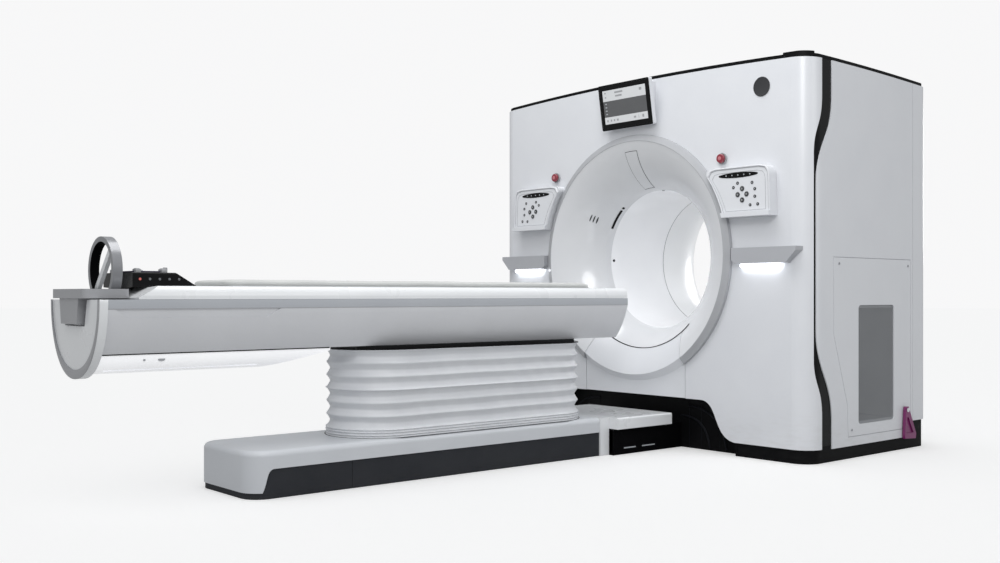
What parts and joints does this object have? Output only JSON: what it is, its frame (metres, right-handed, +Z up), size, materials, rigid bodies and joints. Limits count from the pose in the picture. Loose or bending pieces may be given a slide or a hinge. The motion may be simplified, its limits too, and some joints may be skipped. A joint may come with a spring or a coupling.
{
  "type": "ct scanner",
  "caption": "Medical CT scanner: ring gantry with a flared bore, and a patient table with a sliding cradle on a telescopic lift inside a pleated bellows.",
  "frame": {"origin": "on the floor, under the centre of the whole machine's box", "axes": "+Z up; Y along the bore and the table, with the patient table towards -Y and the gantry's rear towards +Y; X across"},
  "size_m": [2.3364, 4.35, 2.0649],
  "materials": {
    "structural_steel": "powder coat",
    "bearing_steel": "ground",
    "cast_rotor": "machined casting",
    "machine_grey": "satin paint",
    "belt_rubber": "moulded",
    "cover_white": "satin lacquer on moulded plastic",
    "bore_liner_white": "smooth satin",
    "trim_grey": "satin",
    "cap_black": "gloss",
    "skirt_dark": "fine grain",
    "grille_metal": "satin paint",
    "screw_steel": "turned",
    "latch_purple": "moulded",
    "display_black": "gloss",
    "display_glass": "bonded cover glass",
    "stop_red": "moulded",
    "bellows_white": "coated pleated fabric",
    "table_white": "satin lacquer",
    "pad_grey": "coated upholstery",
    "key_black": "moulded"
  },
  "bodies": {
    "gantry": {"base_frame": "structural_steel", "stator_frame": "structural_steel", "slewing_race": "bearing_steel", "drive_motor": "cast_rotor", "drive_belt": "belt_rubber", "front_cover": "cover_white", "dish_cover": "cover_white", "dish_ring_trim": "trim_grey", "lower_front_panel": "cover_white", "bore_liner": "bore_liner_white", "rear_funnel": "cover_white", "rear_cover": "cover_white", "side_covers": "cover_white", "corner_strips": "cap_black", "top_cap": "cap_black", "plinth": "cap_black", "service_panels": "cover_white", "vent_grilles": "grille_metal", "panel_screws": "screw_steel", "display_housing": "display_black", "display_screen": "display_glass", "control_pods": "cover_white", "side_shelves": "trim_grey", "e_stop_collars": "trim_grey", "table_base_frame": "structural_steel", "table_base_cover": "cover_white", "table_side_panels": "skirt_dark", "floor_bridge": "cover_white", "bridge_box": "cap_black", "lift_column": "structural_steel", "bellows": "bellows_white"},
    "rotor": {"rotor_drum": "cast_rotor", "xray_tube": "machine_grey", "detector_arc": "machine_grey", "hv_generator": "machine_grey"},
    "motor_shaft": {"motor_pulley": "bearing_steel"},
    "latch_right": {"latch_right": "latch_purple"},
    "latch_left": {"latch_left": "latch_purple"},
    "e_stop_right": {"e_stop_right": "stop_red"},
    "e_stop_left": {"e_stop_left": "stop_red"},
    "lift_middle": {"lift_stage": "structural_steel"},
    "table_top": {"lift_mast": "structural_steel", "table_carriage": "cap_black", "table_beam": "table_white", "beam_pan": "table_white", "beam_end_cap": "table_white", "cradle_rails": "structural_steel"},
    "cradle": {"cradle": "table_white", "mattress_pad": "pad_grey", "cradle_bracket": "trim_grey", "hoop_handle": "trim_grey", "foot_console": "display_black"},
    "key_right_up": {"key_right_up": "key_black"},
    "key_right_left": {"key_right_left": "key_black"},
    "key_right_right": {"key_right_right": "key_black"},
    "key_right_down": {"key_right_down": "key_black"},
    "key_left_up": {"key_left_up": "key_black"},
    "key_left_left": {"key_left_left": "key_black"},
    "key_left_right": {"key_left_right": "key_black"},
    "key_left_down": {"key_left_down": "key_black"}
  },
  "joints": [
    {"name": "rotor_spin", "type": "hinge", "parent": "gantry", "child": "rotor", "pos_m": [0, 1.395, 1.049], "axis": [0, 1, 0], "continuous": true},
    {"name": "motor_spin", "type": "hinge", "parent": "gantry", "child": "motor_shaft", "pos_m": [0.64, 1.595, 0.416], "axis": [0, 1, 0], "continuous": true},
    {"name": "table_lift", "type": "slide", "parent": "gantry", "child": "table_top", "axis": [0, 0, 1], "range_m": [-0.29, 0], "deforming": ["bellows"]},
    {"name": "lift_stage_rise", "type": "slide", "parent": "gantry", "child": "lift_middle", "axis": [0, 0, 1], "range_m": [-0.145, 0]},
    {"name": "cradle_slide", "type": "slide", "parent": "table_top", "child": "cradle", "axis": [0, 1, 0], "range_m": [0, 1.7]},
    {"name": "latch_right_swing", "type": "hinge", "parent": "gantry", "child": "latch_right", "pos_m": [1.145, 1.923, 0.216], "axis": [-1, 0, 0], "range_deg": [0, 70]},
    {"name": "latch_left_swing", "type": "hinge", "parent": "gantry", "child": "latch_left", "pos_m": [-1.145, 1.923, 0.216], "axis": [-1, 0, 0], "range_deg": [0, 70]},
    {"name": "e_stop_right_press", "type": "slide", "parent": "gantry", "child": "e_stop_right", "axis": [0, 1, 0], "range_m": [0, 0.004], "stiffness_N_per_m": 600},
    {"name": "e_stop_left_press", "type": "slide", "parent": "gantry", "child": "e_stop_left", "axis": [0, 1, 0], "range_m": [0, 0.004], "stiffness_N_per_m": 600},
    {"name": "key_right_up_press", "type": "slide", "parent": "gantry", "child": "key_right_up", "axis": [0, 1, 0], "range_m": [0, 0.0015], "stiffness_N_per_m": 400},
    {"name": "key_right_left_press", "type": "slide", "parent": "gantry", "child": "key_right_left", "axis": [0, 1, 0], "range_m": [0, 0.0015], "stiffness_N_per_m": 400},
    {"name": "key_right_right_press", "type": "slide", "parent": "gantry", "child": "key_right_right", "axis": [0, 1, 0], "range_m": [0, 0.0015], "stiffness_N_per_m": 400},
    {"name": "key_right_down_press", "type": "slide", "parent": "gantry", "child": "key_right_down", "axis": [0, 1, 0], "range_m": [0, 0.0015], "stiffness_N_per_m": 400},
    {"name": "key_left_up_press", "type": "slide", "parent": "gantry", "child": "key_left_up", "axis": [0, 1, 0], "range_m": [0, 0.0015], "stiffness_N_per_m": 400},
    {"name": "key_left_left_press", "type": "slide", "parent": "gantry", "child": "key_left_left", "axis": [0, 1, 0], "range_m": [0, 0.0015], "stiffness_N_per_m": 400},
    {"name": "key_left_right_press", "type": "slide", "parent": "gantry", "child": "key_left_right", "axis": [0, 1, 0], "range_m": [0, 0.0015], "stiffness_N_per_m": 400},
    {"name": "key_left_down_press", "type": "slide", "parent": "gantry", "child": "key_left_down", "axis": [0, 1, 0], "range_m": [0, 0.0015], "stiffness_N_per_m": 400}
  ],
  "couplings": [
    {"joint": "motor_spin", "follows": "rotor_spin", "ratio": 10},
    {"joint": "lift_stage_rise", "follows": "table_lift", "ratio": 0.5}
  ]
}
